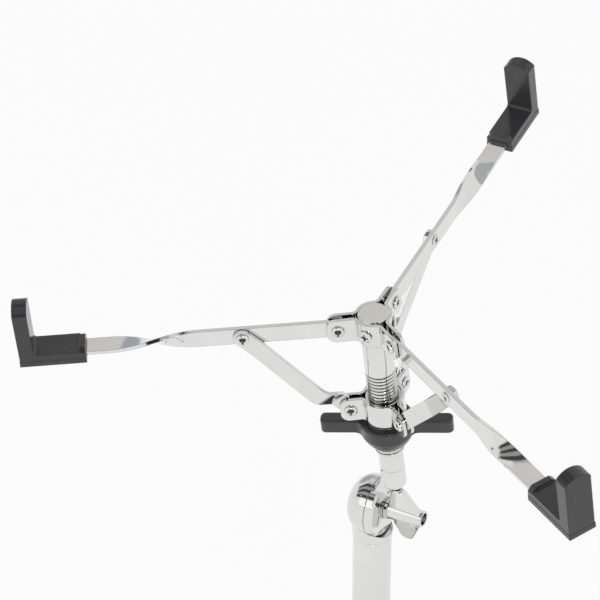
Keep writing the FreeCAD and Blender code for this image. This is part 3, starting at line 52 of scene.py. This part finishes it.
# Surround: round soft patches, each laid over the ones before. A patch has a colour, the way to its middle,
# and the cosines of the angles from there at which it begins and is full.
Patch = namedtuple("Patch", "colour way edge core")
SURROUND = (0.93, 0.93, 0.93, 1)
BLUE_PANEL = Patch((0.44, 0.47, 0.53, 1), (-0.64, 0.64, 0.42), 0.90, 0.97)
GREY_CEILING = Patch((0.50, 0.51, 0.53, 1), (0, 0, 1), 0.775, 0.815)
SOFTBOX = Patch((0.74, 0.73, 0.71, 1), (-0.400, 0.462, 0.792), 0.985, 0.992)
OVERHEAD_SOFTBOX = Patch((0.82, 0.85, 0.90, 1), (-0.03, -0.05, 0.998), 0.968, 0.984)
DARK_FRONT = Patch((0.03, 0.03, 0.032, 1), (0.415, -0.745, 0.522), 0.90, 0.95)
SOFT_GLOW = Patch((1.26, 1.26, 1.25, 1), (-0.41, -0.78, 0.47), 0.955, 0.992)
BRIGHT_SPOT = Patch((24.0, 24.0, 24.3, 1), (0.538, -0.797, 0.273), 0.9962, 0.9980)

# Dark slats at the left of the ceiling. Bars and zone are ramps over the turn about the x axis, from the
# front over the top to the back, as a share of half a turn. The last four say where the slats lie along x.
SLATS = SimpleNamespace(
    dark=(0.065, 0.067, 0.075, 1),
    gap=(0.38, 0.38, 0.37, 1),
    bars=(
        (0.250, 0), (0.261, 1), (0.317, 1), (0.328, 0),
        (0.383, 0), (0.394, 1), (0.444, 1), (0.455, 0),
        (0.511, 0), (0.522, 1), (0.578, 1), (0.589, 0),
    ),
    zone=((0.239, 0), (0.250, 1), (0.589, 1), (0.600, 0)),
    begin=-0.22,
    full=-0.30,
    fade=-0.84,
    end=-0.92,
)

# Floor: a disc, in metres, and the share of white that the camera and mirrors see in it
FLOOR = SimpleNamespace(
    radius=14.0,
    segments=64,
    mottle=dict(Scale=3.0, Detail=3.0),
    tone=((0.3, 0.80), (0.7, 0.83)),
    white_share=0.92,
)

# Finishes: dicts are inputs of a node, with noise scales per metre; ramps are (place, colour or grey) stops;
# lengths are in metres; rough is the range of the roughness, and rough_ values are added to it
BEVEL_SAMPLES = 4
# Samples of the occlusion test that paints shade into chrome recesses
PAINTED_RECESS_SHADE_SAMPLES = 6
CHROME = SimpleNamespace(
    cloud=dict(Scale=38.0, Detail=4.0, Roughness=0.55),
    plate=((0.3, (0.705, 0.705, 0.685, 1)), (0.7, (0.755, 0.755, 0.74, 1))),
    smear=dict(Scale=160.0, Detail=6.0),
    smear_stretch=(1, 1, 0.25),
    hairs=dict(Scale=2600.0, Detail=2.0),
    hairs_stretch=(0.06, 1, 1),
    scratch=((0.70, 0.0), (0.78, 1.0)),
    peel=dict(Scale=420.0, Detail=2.0),
    bump=dict(Strength=0.06, Distance=0.02 * MM),
    edge_radius=0.6 * MM,
    edge_gain=3.0,
    # Painted dark edge lines: the colour and share mixed in at sharp edges in place of the dark reflections
    # there
    painted_dark_edge=(0.22, 0.22, 0.225, 1),
    painted_dark_edge_share=0.6,
    # Painted shade in recesses: its colour, how far the occlusion test reaches, and how dark it paints by
    # openness
    painted_recess_shade=(0.05, 0.05, 0.052, 1),
    painted_recess_shade_reach=3.0 * MM,
    painted_recess_shade_by_openness=((0.25, 1.0), (0.62, 0.0)),
    rough=(0.035, 0.095),
    rough_scratch=0.10,
    rough_edge=0.05,
)
RUBBER = SimpleNamespace(
    pebble=dict(Scale=2100.0),
    bump=dict(Strength=0.16, Distance=0.03 * MM),
    bloom=dict(Scale=75.0, Detail=5.0, Roughness=0.6),
    base=((0.3, (0.026, 0.026, 0.028, 1)), (0.75, (0.040, 0.040, 0.042, 1))),
    dust=dict(Scale=900.0, Detail=3.0),
    speck=((0.66, 0.0), (0.74, 1.0)),
    speck_colour=(0.16, 0.155, 0.15, 1),
    speck_share=0.10,
    edge_radius=1.2 * MM,
    edge_gain=1.6,
    worn=(0.10, 0.10, 0.105, 1),
    worn_share=0.55,
    rough=(0.14, 0.22),
    rough_speck=0.15,
)
PLASTIC = SimpleNamespace(
    grain=dict(Scale=1500.0, Detail=3.0),
    bump=dict(Strength=0.18, Distance=0.04 * MM),
    cloud=dict(Scale=60.0, Detail=4.0),
    edge_radius=1.2 * MM,
    edge_gain=1.6,
    rough_edge=-0.04,
)
BLACK_PLASTIC = dict(
    name="black_plastic",
    base=((0.3, (0.034, 0.034, 0.034, 1)), (0.75, (0.046, 0.046, 0.045, 1))),
    rough=(0.15, 0.23),
)
NYLON = dict(
    name="nylon",
    base=((0.3, (0.06, 0.06, 0.064, 1)), (0.75, (0.085, 0.085, 0.088, 1))),
    rough=(0.36, 0.5),
)
STEEL = SimpleNamespace(
    rings=dict(Scale=1800.0, Detail=2.0),
    rings_stretch=(0.1, 0.1, 1),
    bump=dict(Strength=0.12, Distance=0.02 * MM),
    cloud=dict(Scale=90.0, Detail=4.0),
    base=((0.3, (0.42, 0.42, 0.43, 1)), (0.7, (0.58, 0.58, 0.59, 1))),
    rough=(0.2, 0.36),
)


class Nodes:
    """A short way to add and link shader nodes of one material or world."""

    def __init__(self, owner):
        owner.use_nodes = True
        self.tree = owner.node_tree
        self.tree.nodes.clear()

    def put(self, socket, value):
        """Links a socket to another one, or sets it to a plain value."""
        if isinstance(value, bpy.types.NodeSocket):
            self.tree.links.new(value, socket)
        else:
            socket.default_value = value

    def add(self, kind, settings=None, **inputs):
        """Adds a node. Inputs go by a socket's name, or by its identifier where names repeat."""
        node = self.tree.nodes.new("ShaderNode" + kind)
        for name, value in (settings or {}).items():
            setattr(node, name, value)
        for key, value in inputs.items():
            names = (key, key.replace("_", " "))
            sockets = [s for s in node.inputs if s.name in names or s.identifier == key]
            self.put(next(s for s in sockets if s.enabled), value)
        return node

    def calc(self, operation, a, b=0.0, c=0.0, clamp=False):
        node = self.add("Math", {"operation": operation, "use_clamp": clamp})
        for socket, value in zip(node.inputs, (a, b, c)):
            self.put(socket, value)
        return node.outputs[0]

    def dot(self, first, second):
        node = self.add("VectorMath", {"operation": "DOT_PRODUCT"})
        for socket, value in zip(node.inputs, (first, second)):
            self.put(socket, value)
        return node.outputs["Value"]

    def noise(self, coords, inputs):
        return self.add("TexNoise", Vector=coords, **inputs).outputs["Fac"]

    def ramp(self, fac, stops):
        """Maps a value through colour stops given as (place, colour or grey)."""
        node = self.add("ValToRGB", Fac=fac)
        elements = node.color_ramp.elements
        while len(elements) < len(stops):
            elements.new(1)
        for element, (place, colour) in zip(elements, stops):
            element.position = place
            element.color = colour if isinstance(colour, tuple) else (colour, colour, colour, 1)
        return node.outputs["Color"]

    def mix(self, fac, first, second):
        """Blends two colours."""
        node = self.add("Mix", {"data_type": "RGBA"}, Factor_Float=fac, A_Color=first, B_Color=second)
        return next(output for output in node.outputs if output.enabled)

    def span(self, fac, low, high):
        """Maps 0 to 1 onto low to high."""
        return self.calc("MULTIPLY_ADD", fac, high - low, low)


def new_material(name):
    material = bpy.data.materials.new(name)
    return material, Nodes(material)


def piece_coords(nodes, stretch=(1, 1, 1)):
    """A piece's own coordinates in metres, stretched along its axes."""
    coords = nodes.add("TexCoord").outputs["Object"]
    return nodes.add("Mapping", Vector=coords, Scale=stretch).outputs["Vector"]


def edge_mask(nodes, radius, gain):
    """How sharp an edge is, from how far a rounded normal departs from the face's own, and that normal."""
    rounded = nodes.add("Bevel", {"samples": BEVEL_SAMPLES}, Radius=radius).outputs["Normal"]
    face = nodes.add("NewGeometry").outputs["Normal"]
    apart = nodes.calc("SUBTRACT", 1.0, nodes.dot(rounded, face))
    return nodes.calc("MULTIPLY", apart, gain, clamp=True), rounded


def chrome():
    """Bright plating: faint orange peel, wipe marks, hair scratches, painted shade in deep recesses and
    painted dark lines along sharp edges.
    """
    material, nodes = new_material("chrome_plating")
    coords = piece_coords(nodes)
    cloud = nodes.noise(coords, CHROME.cloud)
    smear = nodes.noise(piece_coords(nodes, CHROME.smear_stretch), CHROME.smear)
    hairs = nodes.noise(piece_coords(nodes, CHROME.hairs_stretch), CHROME.hairs)
    scratch = nodes.ramp(hairs, CHROME.scratch)
    peel = nodes.noise(coords, CHROME.peel)
    edge, rounded = edge_mask(nodes, CHROME.edge_radius, CHROME.edge_gain)
    plate = nodes.ramp(cloud, CHROME.plate)
    # Painted shade: the colour goes dark where ambient occlusion finds a deep recess
    recess = nodes.add("AmbientOcclusion", {"samples": PAINTED_RECESS_SHADE_SAMPLES}, Distance=CHROME.painted_recess_shade_reach)
    # Painted dark edge lines: sharp edges are darkened in colour in place of the dark reflections they show
    painted_dark_edge = nodes.mix(nodes.calc("MULTIPLY", edge, CHROME.painted_dark_edge_share), plate, CHROME.painted_dark_edge)
    painted_recess_shade = nodes.ramp(recess.outputs["AO"], CHROME.painted_recess_shade_by_openness)
    colour = nodes.mix(painted_recess_shade, painted_dark_edge, CHROME.painted_recess_shade)
    rough = nodes.span(smear, *CHROME.rough)
    rough = nodes.calc("MULTIPLY_ADD", scratch, CHROME.rough_scratch, rough)
    rough = nodes.calc("MULTIPLY_ADD", edge, CHROME.rough_edge, rough)
    bump = nodes.add("Bump", Height=peel, Normal=rounded, **CHROME.bump)
    shader = nodes.add("BsdfPrincipled", Base_Color=colour, Metallic=1.0, Roughness=rough,
                       Normal=bump.outputs["Normal"])
    nodes.add("OutputMaterial", Surface=shader.outputs[0])
    return material


def rubber():
    """Moulded black rubber: fine pebble, a bloom, specks of dust and edges rubbed a little paler."""
    material, nodes = new_material("moulded_rubber")
    coords = piece_coords(nodes)
    pebble = nodes.add("TexVoronoi", Vector=coords, **RUBBER.pebble).outputs["Distance"]
    bloom = nodes.noise(coords, RUBBER.bloom)
    dust = nodes.noise(coords, RUBBER.dust)
    speck = nodes.ramp(dust, RUBBER.speck)
    edge, rounded = edge_mask(nodes, RUBBER.edge_radius, RUBBER.edge_gain)
    base = nodes.ramp(bloom, RUBBER.base)
    worn = nodes.mix(nodes.calc("MULTIPLY", edge, RUBBER.worn_share), base, RUBBER.worn)
    colour = nodes.mix(nodes.calc("MULTIPLY", speck, RUBBER.speck_share), worn, RUBBER.speck_colour)
    rough = nodes.span(bloom, *RUBBER.rough)
    rough = nodes.calc("MULTIPLY_ADD", speck, RUBBER.rough_speck, rough)
    bump = nodes.add("Bump", Height=pebble, Normal=rounded, **RUBBER.bump)
    shader = nodes.add("BsdfPrincipled", Base_Color=colour, Roughness=rough, Normal=bump.outputs["Normal"])
    nodes.add("OutputMaterial", Surface=shader.outputs[0])
    return material


def plastic(name, base, rough):
    """Moulded plastic with a spark-eroded grain and slightly polished edges."""
    material, nodes = new_material(name)
    coords = piece_coords(nodes)
    grain = nodes.noise(coords, PLASTIC.grain)
    cloud = nodes.noise(coords, PLASTIC.cloud)
    edge, rounded = edge_mask(nodes, PLASTIC.edge_radius, PLASTIC.edge_gain)
    colour = nodes.ramp(cloud, base)
    rough = nodes.span(cloud, *rough)
    rough = nodes.calc("MULTIPLY_ADD", edge, PLASTIC.rough_edge, rough)
    bump = nodes.add("Bump", Height=grain, Normal=rounded, **PLASTIC.bump)
    shader = nodes.add("BsdfPrincipled", Base_Color=colour, Roughness=rough, Normal=bump.outputs["Normal"])
    nodes.add("OutputMaterial", Surface=shader.outputs[0])
    return material


def steel():
    """Plain turned steel with fine rings and an oily bloom."""
    material, nodes = new_material("turned_steel")
    rings = nodes.noise(piece_coords(nodes, STEEL.rings_stretch), STEEL.rings)
    cloud = nodes.noise(piece_coords(nodes), STEEL.cloud)
    colour = nodes.ramp(cloud, STEEL.base)
    bump = nodes.add("Bump", Height=rings, **STEEL.bump)
    rough = nodes.span(rings, *STEEL.rough)
    shader = nodes.add("BsdfPrincipled", Base_Color=colour, Metallic=1.0, Roughness=rough,
                       Normal=bump.outputs["Normal"])
    nodes.add("OutputMaterial", Surface=shader.outputs[0])
    return material


def paint_nodes():
    """Gives every CAD node the finish of its material slot."""
    finishes = {
        "chrome": chrome(),
        "rubber": rubber(),
        "plastic": plastic(**BLACK_PLASTIC),
        "nylon": plastic(**NYLON),
        "steel": steel(),
    }
    for part in frame["record"]["subparts"]:
        slots = frame["nodes"][part["node"]].data.materials
        slots.clear()
        slots.append(finishes[part["material_slot"]])


def seen(nodes):
    """1 for camera, mirror and see-through rays, 0 for the light that falls on surfaces."""
    path = nodes.add("LightPath").outputs
    either = nodes.calc("MAXIMUM", path["Is Camera Ray"], path["Is Glossy Ray"])
    return nodes.calc("MAXIMUM", either, path["Is Transmission Ray"])


def white_floor():
    """A pale disc that is white to the camera and to metal, with a trace of the object's shadow."""
    bpy.ops.mesh.primitive_circle_add(vertices=FLOOR.segments, radius=FLOOR.radius, fill_type="NGON")
    floor = bpy.context.object
    floor.name = "floor"
    material, nodes = new_material("pale_floor")
    mottle = nodes.noise(piece_coords(nodes), FLOOR.mottle)
    matt = nodes.add("BsdfDiffuse", Color=nodes.ramp(mottle, FLOOR.tone))
    white = nodes.add("Emission", Color=WHITE, Strength=1.0)
    share = nodes.calc("MULTIPLY", seen(nodes), FLOOR.white_share)
    mixed = nodes.add("MixShader", Fac=share)
    nodes.put(mixed.inputs[1], matt.outputs[0])
    nodes.put(mixed.inputs[2], white.outputs[0])
    nodes.add("OutputMaterial", Surface=mixed.outputs[0])
    floor.data.materials.append(material)


def lay_patch(nodes, direction, colour, patch):
    """Lays a round soft patch over a colour of the surround."""
    nearness = nodes.dot(direction, patch.way)
    inside = nodes.add("MapRange", {"interpolation_type": "SMOOTHSTEP"}, Value=nearness,
                       From_Min=patch.edge, From_Max=patch.core)
    return nodes.mix(inside.outputs["Result"], colour, patch.colour)


def lay_slats(nodes, direction, colour):
    """Lays the dark slats over a colour of the surround."""
    split = nodes.add("SeparateXYZ", Vector=direction).outputs
    turn = nodes.calc("ARCTAN2", split["Z"], nodes.calc("MULTIPLY", split["Y"], -1.0))
    turn = nodes.calc("DIVIDE", turn, math.pi)
    near = nodes.add("MapRange", Value=split["X"], From_Min=SLATS.begin, From_Max=SLATS.full)
    far = nodes.add("MapRange", Value=split["X"], From_Min=SLATS.end, From_Max=SLATS.fade)
    side = nodes.calc("MULTIPLY", near.outputs["Result"], far.outputs["Result"])
    zone = nodes.calc("MULTIPLY", side, nodes.ramp(turn, SLATS.zone))
    slatted = nodes.mix(nodes.ramp(turn, SLATS.bars), SLATS.gap, SLATS.dark)
    return nodes.mix(zone, colour, slatted)


def studio_world():
    """A pale room for metal to mirror, slatted above and dark in front. It is white to the camera."""
    world = bpy.data.worlds.new("studio")
    bpy.context.scene.world = world
    nodes = Nodes(world)
    direction = nodes.add("TexCoord").outputs["Generated"]
    colour = SURROUND
    for patch in (BLUE_PANEL, GREY_CEILING):
        colour = lay_patch(nodes, direction, colour, patch)
    colour = lay_slats(nodes, direction, colour)
    for patch in (SOFTBOX, OVERHEAD_SOFTBOX, DARK_FRONT, SOFT_GLOW, BRIGHT_SPOT):
        colour = lay_patch(nodes, direction, colour, patch)
    colour = nodes.mix(nodes.add("LightPath").outputs["Is Camera Ray"], colour, WHITE)
    shader = nodes.add("Background", Color=colour, Strength=1.0)
    nodes.add("OutputWorld", Surface=shader.outputs[0])


def soft_lamp(lamp, aim):
    """A broad lamp turned to the aim. Mirrors don't show it."""
    light = bpy.data.lights.new(lamp.name, "AREA")
    light.shape = "RECTANGLE"
    light.size = lamp.width
    light.size_y = lamp.width * LAMP_HEIGHT_PER_WIDTH
    light.energy = lamp.watts
    holder = bpy.data.objects.new(lamp.name, light)
    bpy.context.scene.collection.objects.link(holder)
    holder.visible_glossy = False
    offset = Vector(lamp.offset)
    holder.location = aim + offset
    holder.rotation_euler = (-offset).to_track_quat("-Z", "Y").to_euler()


def hub_middle():
    """The middle of the three arm pivots."""
    spots = [Vector(JOINTS[f"arm_{i + 1}_hinge"]["pos_m"]) for i in range(ARM_COUNT)]
    return sum(spots, Vector()) / ARM_COUNT


def camera_at(aim):
    """The photograph's camera, placed by where it sees the aim."""
    sin_a, cos_a = math.sin(VIEW_AZIMUTH), math.cos(VIEW_AZIMUTH)
    sin_e, cos_e = math.sin(VIEW_ELEVATION), math.cos(VIEW_ELEVATION)
    right = Vector((cos_a, sin_a, 0))
    forward = Vector((-sin_a * cos_e, cos_a * cos_e, -sin_e))
    up = right.cross(forward)
    lens = bpy.data.cameras.new("photo_view")
    lens.sensor_width = SENSOR_MM
    lens.lens = SENSOR_MM * FOCAL_PX / IMAGE_PX
    holder = bpy.data.objects.new("photo_view", lens)
    bpy.context.scene.collection.objects.link(holder)
    turned = Matrix((right, up, -forward)).transposed().to_4x4()
    spot = aim - right * HUB_RIGHT + up * HUB_DOWN - forward * HUB_AWAY
    holder.matrix_world = Matrix.Translation(spot) @ turned
    bpy.context.scene.camera = holder


bpy.context.scene.view_settings.view_transform = "Standard"
hub = hub_middle()
paint_nodes()
white_floor()
studio_world()
for lamp in LAMPS:
    soft_lamp(lamp, hub)
camera_at(hub)
